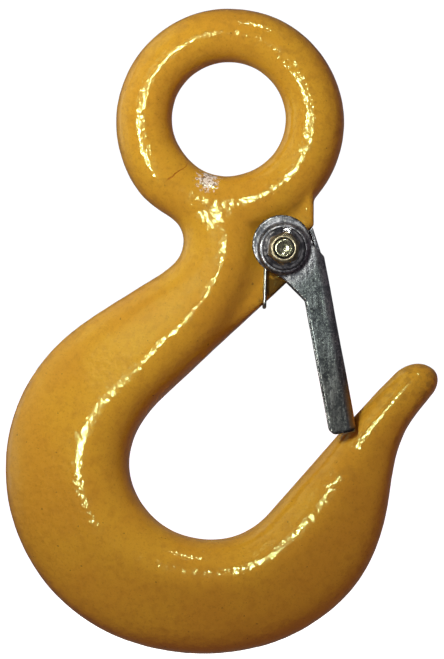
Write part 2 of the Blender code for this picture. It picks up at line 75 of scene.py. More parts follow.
# Shank, bowl and point. A station is (throat side x, z, heading), (back x, z, heading),
# crest share and half thickness, in millimetres and degrees
SECTION_POINTS = 88
SECTION_FULLNESS = 2.15
FLANK_SLOPE = 0.30
RIDGE_BEND = 2.0 * MM
BACK_FULLNESS = 7.0
STATION_STEP = 1.1 * MM
TIP_CAP_LENGTH = 6.7 * MM
TIP_CAP_STEPS = 14
TIP_CAP_BLUNTNESS = 0.95
STATIONS = (
    ((8.0, -21.5, -90.0), (-17.5, -25.5, -40.7), 0.50, 6.2),
    ((8.6, -35.0, -92.0), (-12.5, -32.4, -85.3), 0.45, 8.3),
    ((4.6, -49.5, -117.0), (-14.5, -39.1, -131.4), 0.42, 9.2),
    ((-6.5, -65.2, -137.4), (-24.9, -46.4, -147.6), 0.39, 10.3),
    ((-18.5, -76.4, -135.6), (-42.5, -58.0, -142.0), 0.32, 11.0),
    ((-27.3, -94.5, -89.7), (-60.9, -95.9, -89.2), 0.36, 11.4),
    ((-20.3, -109.2, -43.4), (-43.9, -133.0, -40.5), 0.34, 11.4),
    ((-5.7, -115.0, -2.6), (-6.5, -146.0, 0.0), 0.34, 11.4),
    ((10.7, -108.2, 48.4), (33.0, -129.0, 49.3), 0.36, 10.8),
    ((21.4, -96.1, 48.7), (43.5, -105.0, 80.8), 0.41, 8.9),
    ((29.8, -86.5, 49.1), (45.8, -91.6, 75.3), 0.46, 6.6),
    ((38.2, -77.3, 47.0), (48.4, -84.6, 62.1), 0.50, 6.1),
    ((45.2, -70.0, 45.0), (55.3, -75.3, 52.0), 0.50, 5.7),
)

# Lug
LUG_HALF_THICKNESS = 4.5 * MM
LUG_RIGHT = 23.1 * MM
LUG_CORNER_Z = -29.3 * MM
LUG_NOSE_RADIUS = 7.9 * MM
LUG_NOSE_START = 38.0
LUG_TAIL = 2.0 * MM
LUG_ROOT = ((-13.0, -58.7), (0.0, -45.0), (0.0, -24.0), (12.0, -17.0))
PIN_HOLE_RADIUS = 2.85 * MM
LUG_CREASE = ((7.0, -36.0), (5.0, -44.0), (1.5, -51.5), (-4.0, -58.0))
THROAT_POINT = (-5.6 * MM, -64.39 * MM)
THROAT_SLOPE = math.radians(42.8)

# Marks in the enamel, (x, z) in millimetres: forging lap and rubbed spot, and the centre of a
# painted shadow beside the spring's leg
LAP_MARK = ((-16.5, -17.2), (-10.9, -12.5))
BARE_PATCH = (-5.7, -16.9)
PIVOT_PAINTED_SHADOW = (12.8, -45.6)

# Latch
LATCH_LEAN = math.radians(10.6)
SHEET = 1.2 * MM
CHANNEL_OPEN_EDGE = -12.0 * MM
LATCH_HALF_WIDTH = 8.3 * MM
LATCH_BEND_RADIUS = 2.4 * MM
LATCH_WEB = 10.5 * MM
LATCH_FLANGE_EDGE = 3.3 * MM
LATCH_END = 52.1 * MM
WEB_END = 51.6 * MM
WEB_END_HALF_WIDTH = 6.8 * MM
LATCH_END_RADIUS = 1.6 * MM
LATCH_HEEL_RADIUS = 1.0 * MM
WEB_TOP = 5.6 * MM
TAPER_TOP = (-0.96 * MM, 8.73 * MM)
TAPER_BOTTOM = 15.0 * MM
EAR_RADIUS = 8.0 * MM
EAR_CENTRE = (-0.27 * MM, -1.25 * MM)
EAR_HOLE_RADIUS = 2.85 * MM
EAR_OPENING_RADIUS = 6.65 * MM
EAR_ARC = (245.0, -7.0)
BOSS_BASE_RADIUS = 7.2 * MM
BOSS_TOP_RADIUS = 6.4 * MM
BOSS_HEIGHT = 1.2 * MM
TAB_HALF_WIDTH = 4.2 * MM
TAB_TOP = (8.95 * MM, -4.45 * MM)
TAB_TOP_DROP = 0.5 * MM
TAB_FOOT = (9.9 * MM, 3.5 * MM)

# Seat for the latch's end
SEAT_GAP = 0.1 * MM
SEAT_TOP = 42.0 * MM
SEAT_WIDTH = 9.0 * MM

# Spring
WIRE_RADIUS = 0.5 * MM
COIL_RADIUS = 4.7 * MM
COIL_PITCH = 1.15 * MM
COIL_START_Y = 5.3 * MM
COIL_POINTS = 90
BRIDGE = (9.65 * MM, -51.45 * MM)
BRIDGE_BEND = 1.4 * MM
FREE_LEG_REACH = 20.0 * MM
FREE_LEG_Y = 5.6 * MM
WIRE_SIDES = 20
WIRE_END = ((0.85, 0.18), (0.45, 0.3))

# Bolt, nut and nylon ring
BOLT_RADIUS = 2.5 * MM
HEX_ACROSS_FLATS = 8.0 * MM
HEX_TURN = 20.0
HEX_FOOT = 0.5 * MM
HEX_CROWN = (8.0 * MM, 2.2 * MM, 0.47 * HEX_ACROSS_FLATS)
FLANGE_RADIUS = 5.9 * MM
FLANGE_RIM = 0.9 * MM
FLANGE_HEIGHT = 2.0 * MM
FLANGE_TOP_RADIUS = 4.0 * MM
NUT_BORE_RADIUS = 2.8 * MM
RING_SEAT_RADIUS = 3.35 * MM
RING_SEAT_DEPTH = 1.7 * MM
NUT_LIP_RADIUS = 2.82 * MM
RING_OUTER_RADIUS = 3.05 * MM
RING_INNER_RADIUS = 2.6 * MM
RING_STEPS = 28
RING_SQUARENESS = 0.5
BOLT_CHAMFER = 0.2 * MM
THREAD_PITCH = 0.8 * MM
THREAD_DEPTH = 0.34 * MM
ROUND_SIDES = 96

# Cell size of each piece's even mesh
HOOK_CELL = 0.595 * MM
LATCH_CELL = 0.22 * MM
NUT_CELL = 0.10 * MM
BOLT_CELL = 0.11 * MM

# Rounding where forged parts meet: place, reach and rounds
NECK_CENTRE = (-8.0 * MM, -26.0 * MM)
NECK_REACH = 17.0 * MM
NECK_ROUNDS = 107
LUG_LINE_CENTRE = (14.0 * MM, -22.0 * MM)
LUG_LINE_REACH = 13.0 * MM
CREASE_REACH = 8.0 * MM
CREASE_ROUNDS = 53
EDGE_ROUNDS = 12
EVEN_ROUNDS = 5
MARK_ROUNDS = 31

# Small parts: rounds of evening and melting, the melting's share, rounds for wear
LATCH_ROUNDS = (5, 3)
FASTENER_ROUNDS = (3, 2)
SMALL_MELT = 0.6
SMALL_MARK_ROUNDS = 8

# Uneven surfaces: (height, wavelength, seed) of each wave
HOOK_WAVES = ((0.14 * MM, 15.0 * MM, 1), (0.04 * MM, 5.0 * MM, 2), (0.03 * MM, 2.2 * MM, 3))
LATCH_WAVES = ((0.05 * MM, 6.0 * MM, 4), (0.015 * MM, 1.6 * MM, 5))
NUT_WAVES = ((0.012 * MM, 1.2 * MM, 6),)
BOLT_WAVES = ((0.012 * MM, 1.2 * MM, 7),)
FLASH_HEIGHT = 0.14 * MM
FLASH_BAND = (0.2 * MM, 1.3 * MM)


# ---- mesh tools


def arc(centre, radius, start, end, steps):
    """Points on an arc, from one angle to another, both in degrees."""
    turns = np.radians(np.linspace(start, end, steps + 1))
    return [(centre[0] + radius * math.cos(t), centre[1] + radius * math.sin(t)) for t in turns]


def heading_of(turn):
    return Vector((math.cos(turn), math.sin(turn)))


def smooth_step(share):
    return share * share * (3.0 - 2.0 * share)


def smooth_between(values, low, high):
    """0 below low, 1 above high, with a smooth rise between them."""
    return smooth_step(np.clip((values - low) / (high - low), 0.0, 1.0))


def skin(rings, closed=False):
    """A mesh through equal rings of points; an open one gets flat end caps."""
    shape = bmesh.new()
    made = [[shape.verts.new(point) for point in ring] for ring in rings]
    count = len(made[0])
    pairs = list(zip(made, made[1:]))
    if closed:
        pairs.append((made[-1], made[0]))
    for first, second in pairs:
        for i in range(count):
            j = (i + 1) % count
            shape.faces.new((first[i], first[j], second[j], second[i]))
    if not closed:
        shape.faces.new(made[0])
        shape.faces.new(list(reversed(made[-1])))
    bmesh.ops.recalc_face_normals(shape, faces=shape.faces)
    mesh = bpy.data.meshes.new("form")
    shape.to_mesh(mesh)
    shape.free()
    return mesh


def prism(outline, low_y, high_y):
    return skin([[(x, y, z) for x, z in outline] for y in (low_y, high_y)])


def turned(profile, side=1.0, closed=False):
    """A (radius, y) profile spun round the Y axis; closed for a ring with a hole."""
    sides = range(ROUND_SIDES)
    if closed:
        return skin([[round_point(r, side * y, i) for r, y in profile] for i in sides], closed=True)
    return skin([[round_point(r, side * y, i) for i in sides] for r, y in profile])


def round_point(radius, y, i):
    turn = math.tau * i / ROUND_SIDES
    return (radius * math.cos(turn), y, radius * math.sin(turn))


def moved(mesh, offset, lean=0.0):
    """The mesh turned about Y by a lean and then shifted."""
    turn = np.array((
        (math.cos(lean), 0.0, -math.sin(lean)),
        (0.0, 1.0, 0.0),
        (math.sin(lean), 0.0, math.cos(lean)),
    ))
    set_points(mesh, get_points(mesh) @ turn.T + np.array(offset))
    return mesh


def read_vectors(items, name):
    flat = np.empty(len(items) * 3, np.float32)
    items.foreach_get(name, flat)
    return flat.reshape(-1, 3).astype(float)


def get_points(mesh):
    return read_vectors(mesh.vertices, "co")


def set_points(mesh, points):
    mesh.vertices.foreach_set("co", points.astype(np.float32).ravel())
    mesh.update()


def get_normals(mesh):
    return read_vectors(mesh.vertex_normals, "vector")


def new_object(name, data):
    item = bpy.data.objects.new(name, data)
    bpy.context.scene.collection.objects.link(item)
    return item


def combine(base, steps, voxel=None):
    """Boolean steps on a base mesh, then an even fine mesh of the result."""
    made = [new_object("form", mesh) for mesh in [base] + [other for _, other in steps]]
    body = made[0]
    for (operation, _), other in zip(steps, made[1:]):
        step = body.modifiers.new(operation, "BOOLEAN")
        step.operation = operation
        step.solver = "EXACT"
        step.object = other
    if voxel:
        fine = body.modifiers.new("fine", "REMESH")
        fine.mode = "VOXEL"
        fine.voxel_size = voxel
    graph = bpy.context.evaluated_depsgraph_get()
    result = bpy.data.meshes.new_from_object(body.evaluated_get(graph), depsgraph=graph)
    for item in made:
        mesh = item.data
        bpy.data.objects.remove(item)
        bpy.data.meshes.remove(mesh)
    return result


class Relaxer:
    """Smooths points along the edges of one mesh."""

    def __init__(self, mesh):
        ends = np.empty(len(mesh.edges) * 2, np.int32)
        mesh.edges.foreach_get("vertices", ends)
        self.first, self.second = ends[0::2], ends[1::2]
        self.size = len(mesh.vertices)
        degree = np.bincount(ends, minlength=self.size)
        self.degree = np.maximum(degree, 1)[:, None]

    def mean(self, values):
        columns = []
        for column in values.T:
            total = np.bincount(self.first, column[self.second], self.size)
            total += np.bincount(self.second, column[self.first], self.size)
            columns.append(total)
        return np.stack(columns, 1) / self.degree

    def even(self, points, rounds):
        """Removes roughness and keeps the volume."""
        for _ in range(rounds):
            points = points + 0.5 * (self.mean(points) - points)
            points = points - 0.53 * (self.mean(points) - points)
        return points

    def fillet(self, points, rounds, weight):
        """Melts creases where the weight is above zero."""
        for _ in range(rounds):
            points = points + 0.6 * weight[:, None] * (self.mean(points) - points)
        return points

    def soften(self, points, even_rounds, melt_rounds):
        """Evens a small part out and softens its edges."""
        points = self.even(points, even_rounds)
        return self.fillet(points, melt_rounds, np.full(len(points), SMALL_MELT))


def uneven(points, waves):
    """Smooth random heights at the points: a sum of waves."""
    total = 0.0
    for height, wavelength, seed in waves:
        shift = Vector((seed * 17.3, seed * 5.1, seed * 11.7))
        wave = np.array([noise.noise(Vector(p) / wavelength + shift) for p in points])
        total = total + height * wave
    return total


def fit_to_box(points, node):
    """Scales the points so that they fill the CAD node's box."""
    low, high = (np.array(corner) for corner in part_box(node))
    own_low, own_high = points.min(0), points.max(0)
    return low + (points - own_low) * (high - low) / (own_high - own_low)


def mark_convexity(mesh, relaxer, rounds):
    """Stores how far each point stands out of its surroundings, in millimetres."""
    points = get_points(mesh)
    around = points
    for _ in range(rounds):
        around = around + 0.6 * (relaxer.mean(around) - around)
    value = ((points - around) * get_normals(mesh)).sum(1) / MM
    layer = mesh.attributes.new("convexity", "FLOAT", "POINT")
    layer.data.foreach_set("value", value.astype(np.float32))


def add_piece(name, mesh, finish, body, node):
    """A smooth shaded piece that rides on a body and stands for a CAD node."""
    mesh.name = name
    mesh.shade_smooth()
    mesh.materials.clear()
    mesh.materials.append(finish)
    item = new_object(name, mesh)
    if body:
        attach(item, body)
    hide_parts(node)
    return item


# ---- hook body


def curve_between(start, end, share):
    """A point on the arc-like cubic between two (x, z, heading) points, in metres."""
    first = Vector(start[:2]) * MM
    last = Vector(end[:2]) * MM
    turn = math.radians(end[2] - start[2])
    turn = math.atan2(math.sin(turn), math.cos(turn))
    chord = (last - first).length
    reach = chord / 3.0
    if abs(turn) > 0.01:
        reach = chord * 2.0 * math.tan(turn / 4.0) / (3.0 * math.sin(turn / 2.0))
    leave = heading_of(math.radians(start[2]))
    arrive = heading_of(math.radians(end[2]))
    handle_a = first + leave * reach
    handle_b = last - arrive * reach
    rest = 1.0 - share
    early = first * rest**3 + handle_a * 3.0 * rest**2 * share
    return early + handle_b * 3.0 * rest * share**2 + last * share**3


def power(value, exponent):
    return math.copysign(abs(value) ** exponent, value)


def back_depth(share, length, half_thickness):
    """Half thickness of the flank, from the ridge (share 0) to the back (share 1)."""
    bend = RIDGE_BEND / length
    fall = (math.hypot(share, bend) - bend) / (math.hypot(1.0, bend) - bend)
    flank = half_thickness - FLANK_SLOPE * length * fall
    return flank * math.sqrt(1.0 - share**BACK_FULLNESS)


def section(inner, outer, crest, half_thickness):
    """One ring round the metal between a throat side point and a back point."""
    top = inner + (outer - inner) * crest
    ring = []
    for i in range(SECTION_POINTS):
        turn = math.tau * i / SECTION_POINTS
        across = power(math.cos(turn), 2.0 / SECTION_FULLNESS)
        if across > 0.0:
            side = outer - top
            depth = math.copysign(back_depth(across, side.length, half_thickness), math.sin(turn))
        else:
            side = top - inner
            depth = half_thickness * power(math.sin(turn), 2.0 / SECTION_FULLNESS)
        place = top + side * across
        ring.append((place.x, depth, place.y))
    return ring


def shank_rings():
    """Sections from the eye, down the shank, round the bowl and up to the point."""
    rings = []
    for start, end in zip(STATIONS, STATIONS[1:]):
        length = max(math.dist(start[0][:2], end[0][:2]), math.dist(start[1][:2], end[1][:2]))
        steps = max(2, round(length * MM / STATION_STEP))
        for i in range(steps):
            share = i / steps
            inner = curve_between(start[0], end[0], share)
            outer = curve_between(start[1], end[1], share)
            blend = smooth_step(share)
            crest = start[2] + (end[2] - start[2]) * blend
            half = start[3] + (end[3] - start[3]) * blend
            rings.append(section(inner, outer, crest, half * MM))
    return rings + tip_rings()


def tip_rings():
    """The blunt round end of the point."""
    inner_end, outer_end, crest, half = STATIONS[-1]
    inner = Vector(inner_end[:2]) * MM
    outer = Vector(outer_end[:2]) * MM
    middle = (inner + outer) / 2.0
    forward = heading_of(math.radians((inner_end[2] + outer_end[2]) / 2.0))
    rings = []
    for step in range(TIP_CAP_STEPS):
        turn = math.pi / 2.0 * step / TIP_CAP_STEPS
        shrink = math.cos(turn) ** TIP_CAP_BLUNTNESS
        shift = forward * TIP_CAP_LENGTH * math.sin(turn)
        first = middle + (inner - middle) * shrink + shift
        last = middle + (outer - middle) * shrink + shift
        rings.append(section(first, last, crest, half * MM * shrink))
    return rings


def eye_ring():
    """Round sections along the eye."""
    rings = []
    offset = Vector(EYE_OUTER_OFFSET)
    for i in range(EYE_SECTIONS):
        turn = math.tau * i / EYE_SECTIONS
        direction = heading_of(turn)
        along = direction.dot(offset)
        outside = along + math.sqrt(along**2 - offset.length_squared + EYE_OUTER_RADIUS**2)
        middle = (outside + EYE_HOLE_RADIUS) / 2.0
        half = (outside - EYE_HOLE_RADIUS) / 2.0
        ring = []
        for j in range(EYE_SECTION_POINTS):
            around = math.tau * j / EYE_SECTION_POINTS
            place = direction * (middle + half * math.cos(around))
            ring.append((place.x, EYE_HALF_THICKNESS * math.sin(around), place.y))
        rings.append(ring)
    return skin(rings, closed=True)


def lug_outline():
    """The lug: down its right edge, round the pivot, along the throat."""
    throat = Vector(THROAT_POINT)
    uphill = heading_of(THROAT_SLOPE)
    outward = Vector((uphill.y, -uphill.x))
    depth = (throat - PIVOT).dot(outward)
    half_span = math.degrees(math.acos(depth / LUG_NOSE_RADIUS))
    nose_end = math.degrees(math.atan2(outward.y, outward.x)) - half_span
    tail = throat - uphill * LUG_TAIL
    points = [(LUG_RIGHT, LUG_ROOT[-1][1] * MM), (LUG_RIGHT, LUG_CORNER_Z)]
    points += arc(PIVOT, LUG_NOSE_RADIUS, LUG_NOSE_START, nose_end, 40)
    points.append(tuple(tail))
    points += [(x * MM, z * MM) for x, z in LUG_ROOT]
    return points


def latch_point(across, down):
    """A point of the closed latch, in the XZ plane."""
    x = PIVOT[0] + across * math.cos(LATCH_LEAN) + down * math.sin(LATCH_LEAN)
    z = PIVOT[1] + across * math.sin(LATCH_LEAN) - down * math.cos(LATCH_LEAN)
    return x, z


def seat_outline():
    """The notch for the latch's end: a wall along it, and a floor round the pivot."""
    wall = LATCH_WEB + SEAT_GAP
    run = wall - SEAT_WIDTH
    heel = math.hypot(LATCH_WEB - LATCH_HEEL_RADIUS, WEB_END - LATCH_HEEL_RADIUS)
    floor_radius = heel + LATCH_HEEL_RADIUS + SEAT_GAP
    points = [latch_point(wall, SEAT_TOP)]
    for across in np.linspace(wall, run, 16):
        points.append(latch_point(across, math.sqrt(floor_radius**2 - across**2)))
    points.append(latch_point(run, SEAT_TOP))
    return points


def near(points, centre, radius):
    """1 at a centre in the XZ plane, falling to 0 at the radius."""
    gap = np.hypot(points[:, 0] - centre[0], points[:, 2] - centre[1])
    return 1.0 - smooth_between(gap, 0.35 * radius, radius)


def near_line(points, line, radius):
    """1 along a line of (x, z) points in millimetres, falling to 0 at the radius."""
    found = np.zeros(len(points))
    for start, end in zip(line, line[1:]):
        for share in np.linspace(0.0, 1.0, 8):
            centre = [(a + (b - a) * share) * MM for a, b in zip(start, end)]
            found = np.maximum(found, near(points, centre, radius))
    return found


def hook_body_mesh():
    """The forging: swept body, ring and lug melted together, with a flash line."""
    hole = turned([(PIN_HOLE_RADIUS, -20.0 * MM), (PIN_HOLE_RADIUS, 20.0 * MM)])
    reach = 14.0 * MM
    steps = [
        ("UNION", eye_ring()),
        ("UNION", prism(lug_outline(), -LUG_HALF_THICKNESS, LUG_HALF_THICKNESS)),
        ("DIFFERENCE", moved(hole, PIVOT_CENTRE)),
        ("DIFFERENCE", prism(seat_outline(), -reach, reach)),
    ]
    mesh = combine(skin(shank_rings()), steps, voxel=HOOK_CELL)
    relaxer = Relaxer(mesh)
    points = relaxer.even(get_points(mesh), EVEN_ROUNDS)
    neck = near(points, NECK_CENTRE, NECK_REACH)
    lug_line = near(points, LUG_LINE_CENTRE, LUG_LINE_REACH)
    crease = near_line(points, LUG_CREASE, CREASE_REACH)
    keep_corner = 1.0 - near(points, (LUG_RIGHT, LUG_CORNER_Z), 4.0 * MM)
    keep_seat = 1.0 - near(points, latch_point(LATCH_WEB, LATCH_END - 4.0 * MM), 11.0 * MM)
    edges = np.maximum(0.5 * lug_line, 0.25) * keep_seat * keep_corner
    points = relaxer.fillet(points, NECK_ROUNDS, neck)
    points = relaxer.fillet(points, CREASE_ROUNDS, crease)
    points = relaxer.fillet(points, EDGE_ROUNDS, edges)
    set_points(mesh, points)
    normals = get_normals(mesh)
    in_plane = np.hypot(normals[:, 0], normals[:, 2])
    flash = FLASH_HEIGHT * (1.0 - smooth_between(np.abs(points[:, 1]), *FLASH_BAND)) * in_plane
    calm = 1.0 - near(points, PIVOT, 9.0 * MM)
    relief = uneven(points, HOOK_WAVES) * calm * keep_seat
    points = points + normals * (relief + flash)[:, None]
    set_points(mesh, fit_to_box(points, "hook_body"))
    mark_convexity(mesh, relaxer, MARK_ROUNDS)
    return mesh


# ---- latch


def channel():
    """A long U channel along the hanging latch, open on the bowl side."""
    inner = LATCH_BEND_RADIUS - SHEET
    web = LATCH_WEB - LATCH_BEND_RADIUS
    side = LATCH_HALF_WIDTH - LATCH_BEND_RADIUS
    profile = [(CHANNEL_OPEN_EDGE, -LATCH_HALF_WIDTH)]
    profile += arc((web, -side), LATCH_BEND_RADIUS, -90.0, 0.0, 14)
    profile += arc((web, side), LATCH_BEND_RADIUS, 0.0, 90.0, 14)
    profile.append((CHANNEL_OPEN_EDGE, LATCH_HALF_WIDTH))
    profile.append((CHANNEL_OPEN_EDGE, LATCH_HALF_WIDTH - SHEET))
    profile += arc((web, side), inner, 90.0, 0.0, 14)
    profile += arc((web, -side), inner, 0.0, -90.0, 14)
    profile.append((CHANNEL_OPEN_EDGE, SHEET - LATCH_HALF_WIDTH))
    rings = []
    for down in (-EAR_RADIUS + 2.0 * EAR_CENTRE[1], LATCH_END + 1.0 * MM):
        rings.append([(across, y, -down) for across, y in profile])
    return skin(rings)


def latch_outline():
    """Side outline of ear and arm, clockwise from the ear's lower left."""
    points = arc((EAR_CENTRE[0], -EAR_CENTRE[1]), EAR_RADIUS, *EAR_ARC, 90)
    beyond = LATCH_WEB + 1.0 * MM
    points += [(beyond, -WEB_TOP), (beyond, -LATCH_END + LATCH_HEEL_RADIUS)]
    heel = (LATCH_WEB - LATCH_HEEL_RADIUS, -LATCH_END + LATCH_HEEL_RADIUS)
    points += arc(heel, LATCH_HEEL_RADIUS, 0.0, -90.0, 8)
    corner = (LATCH_FLANGE_EDGE + LATCH_END_RADIUS, -LATCH_END + LATCH_END_RADIUS)
    points += arc(corner, LATCH_END_RADIUS, 270.0, 180.0, 10)
    points += [(LATCH_FLANGE_EDGE, -TAPER_BOTTOM), (TAPER_TOP[0], -TAPER_TOP[1])]
    return points


def web_end_outline():
    """What is cut away below the web, which ends before the two flanges."""
    below = -LATCH_END - 1.0 * MM
    beyond = LATCH_WEB + 1.0 * MM
    heel = (LATCH_WEB - LATCH_HEEL_RADIUS, -WEB_END + LATCH_HEEL_RADIUS)
    points = [(0.0, below), (0.0, -WEB_END)]
    points += arc(heel, LATCH_HEEL_RADIUS, -90.0, 0.0, 8)
    return points + [(beyond, heel[1]), (beyond, below)]


def boss(side):
    """The raised round on one ear."""
    face = LATCH_HALF_WIDTH
    under = face - SHEET
    points = [
        (BOSS_BASE_RADIUS - 0.05 * MM, face - 0.05 * MM),
        (BOSS_TOP_RADIUS + 0.15 * MM, face + BOSS_HEIGHT - 0.12 * MM),
        (BOSS_TOP_RADIUS, face + BOSS_HEIGHT),
        (EAR_HOLE_RADIUS, face + BOSS_HEIGHT),
        (EAR_HOLE_RADIUS, under + BOSS_HEIGHT),
        (BOSS_TOP_RADIUS - 0.75 * MM, under + BOSS_HEIGHT),
        (BOSS_BASE_RADIUS - 1.0 * MM, under + 0.06 * MM),
        (BOSS_BASE_RADIUS - 0.05 * MM, under + 0.06 * MM),
    ]
    return turned(points, side, closed=True)


def tab():
    """The tongue above the web that rests behind the lug's right edge."""
    outer_top = Vector((TAB_TOP[0], -TAB_TOP[1]))
    outer_foot = Vector((TAB_FOOT[0], -TAB_FOOT[1]))
    inward = Vector((-SHEET, 0.0))
    bottom = Vector((LATCH_WEB - 0.1 * MM, -WEB_TOP - 0.8 * MM))
    low = Vector((LATCH_WEB - 0.1 * MM, -WEB_TOP - 3.0 * MM))
    outline = [outer_top, outer_foot, bottom, low, low + inward, bottom + inward]
    outline += [outer_foot + inward, outer_top + inward - Vector((0.0, TAB_TOP_DROP))]
    return prism([tuple(point) for point in outline], -TAB_HALF_WIDTH, TAB_HALF_WIDTH)


def latch_mesh():
    """The bent sheet with its ears, stamped bosses and tab."""
    reach = 2.0 * LATCH_HALF_WIDTH
    opening = [(EAR_OPENING_RADIUS, -reach), (EAR_OPENING_RADIUS, reach)]
    steps = [
        ("INTERSECT", prism(latch_outline(), -reach, reach)),
        ("DIFFERENCE", turned(opening)),
        ("DIFFERENCE", prism(web_end_outline(), -WEB_END_HALF_WIDTH, WEB_END_HALF_WIDTH)),
        ("UNION", boss(-1.0)),
        ("UNION", boss(1.0)),
        ("UNION", tab()),
    ]
    mesh = combine(channel(), steps, voxel=LATCH_CELL)
    relaxer = Relaxer(mesh)
    set_points(mesh, relaxer.soften(get_points(mesh), *LATCH_ROUNDS))
    points, normals = get_points(mesh), get_normals(mesh)
    set_points(mesh, points + normals * uneven(points, LATCH_WAVES)[:, None])
    moved(mesh, PIVOT_CENTRE, LATCH_LEAN)
    set_points(mesh, fit_to_box(get_points(mesh), "latch"))
    mark_convexity(mesh, relaxer, SMALL_MARK_ROUNDS)
    return mesh


# ---- spring


def tangent_point(outside, centre, radius, side):
    """Where a straight wire from an outside point touches the coil."""
    gap = outside - centre
    turn = math.atan2(gap.y, gap.x) + side * math.acos(radius / gap.length)
    return turn, centre + heading_of(turn) * radius


def spring_half(side):
    """The wire's centre line on one side, from the bridge to the free end."""
    bridge = Vector(BRIDGE)
    web_face = LATCH_WEB - SHEET - 0.3 * MM - WIRE_RADIUS
    free_end = Vector(latch_point(web_face, FREE_LEG_REACH))
    start, first_touch = tangent_point(bridge, PIVOT, COIL_RADIUS, -1.0)
    end, last_touch = tangent_point(free_end, PIVOT, COIL_RADIUS, 1.0)
    leg = (first_touch - bridge).normalized()
    points = []
    for step in range(10):
        turn = math.radians(10.0 * step)
        y = COIL_START_Y - BRIDGE_BEND * (1.0 - math.sin(turn))
        rise = bridge + leg * BRIDGE_BEND * (1.0 - math.cos(turn))
        points.append((rise.x, side * y, rise.y))
    run = points[-1]
    for share in np.linspace(0.1, 0.9, 9):
        place = Vector((run[0], run[2])).lerp(first_touch, share)
        points.append((place.x, side * COIL_START_Y, place.y))
    sweep = (start - end) % math.tau + math.tau
    steps = round(sweep / math.tau * COIL_POINTS)
    for i in range(steps + 1):
        share = i / steps
        turn = start - sweep * share
        y = COIL_START_Y + COIL_PITCH * sweep * share / math.tau
        place = PIVOT + heading_of(turn) * COIL_RADIUS
        points.append((place.x, side * y, place.y))
    last_y = abs(points[-1][1])
    for share in np.linspace(0.05, 1.0, 20):
        place = last_touch + (free_end - last_touch) * share
        ease = smooth_step(min(1.0, share / 0.6))
        points.append((place.x, side * (last_y + (FREE_LEG_Y - last_y) * ease), place.y))
    return points


def tube(route, radius, sides):
    """A round wire along a route, with slightly rounded ends."""
    line = np.array(route)
    heading = np.gradient(line, axis=0)
    heading /= np.linalg.norm(heading, axis=1)[:, None]
    across = np.cross(heading[0], (0.0, 0.0, 1.0))
    rings = []
    for i, (place, ahead) in enumerate(zip(line, heading)):
        across = across - ahead * (across @ ahead)
        across /= np.linalg.norm(across)
        other = np.cross(ahead, across)
        turns = math.tau * np.arange(sides) / sides
        around = np.outer(np.cos(turns), across) + np.outer(np.sin(turns), other)
        rounded = [(around * share, ahead * beyond) for share, beyond in WIRE_END]
        if i == 0:
            rings += [place + radius * (wide - out) for wide, out in rounded[::-1]]
        rings.append(place + around * radius)
        if i == len(line) - 1:
            rings += [place + radius * (wide + out) for wide, out in rounded]
    return skin([[tuple(point) for point in ring] for ring in rings])


def spring_mesh():
    """One wire: front leg, front coil, bridge, rear coil, rear leg."""
    front = spring_half(-1.0)
    rear = spring_half(1.0)
    mid = [(front[0][0], y, front[0][2]) for y in np.linspace(front[0][1], rear[0][1], 12)[1:-1]]
    mesh = tube(list(reversed(front)) + mid + rear, WIRE_RADIUS, WIRE_SIDES)
    set_points(mesh, fit_to_box(get_points(mesh), "latch_spring"))
    return mesh


# ---- bolt and nut


def hexagon(y, side):
    """The six corners of the hex at a distance along Y."""
    corner = HEX_ACROSS_FLATS / math.sqrt(3.0)
    turns = [math.radians(60.0 * i + HEX_TURN) for i in range(6)]
    return [(corner * math.cos(t), side * y, corner * math.sin(t)) for t in turns]


def flange(side):
    """The conical flange under a hex."""
    profile = [
        (FLANGE_RADIUS - 0.15 * MM, 0.0),
        (FLANGE_RADIUS, 0.2 * MM),
        (FLANGE_RADIUS, FLANGE_RIM),
        (FLANGE_TOP_RADIUS, FLANGE_HEIGHT),
    ]
    return turned(profile, side)


def crowned_hex(height, side):
    """A hex whose end corners are turned away to a cone."""
    reach, drop, top_radius = HEX_CROWN
    crown = [(reach, 0.3 * MM), (reach, height - drop), (top_radius, height)]
    form = skin([hexagon(HEX_FOOT, side), hexagon(height, side)])
    return combine(form, [("INTERSECT", turned(crown, side))])


def finish_fastener(mesh, node, waves):
    """Softens the edges, adds lumps and fits the CAD node's box."""
    relaxer = Relaxer(mesh)
    points = relaxer.soften(get_points(mesh), *FASTENER_ROUNDS)
    set_points(mesh, points)
    points = points + get_normals(mesh) * uneven(points, waves)[:, None]
    set_points(mesh, fit_to_box(points, node))
    mark_convexity(mesh, relaxer, SMALL_MARK_ROUNDS)
    return mesh


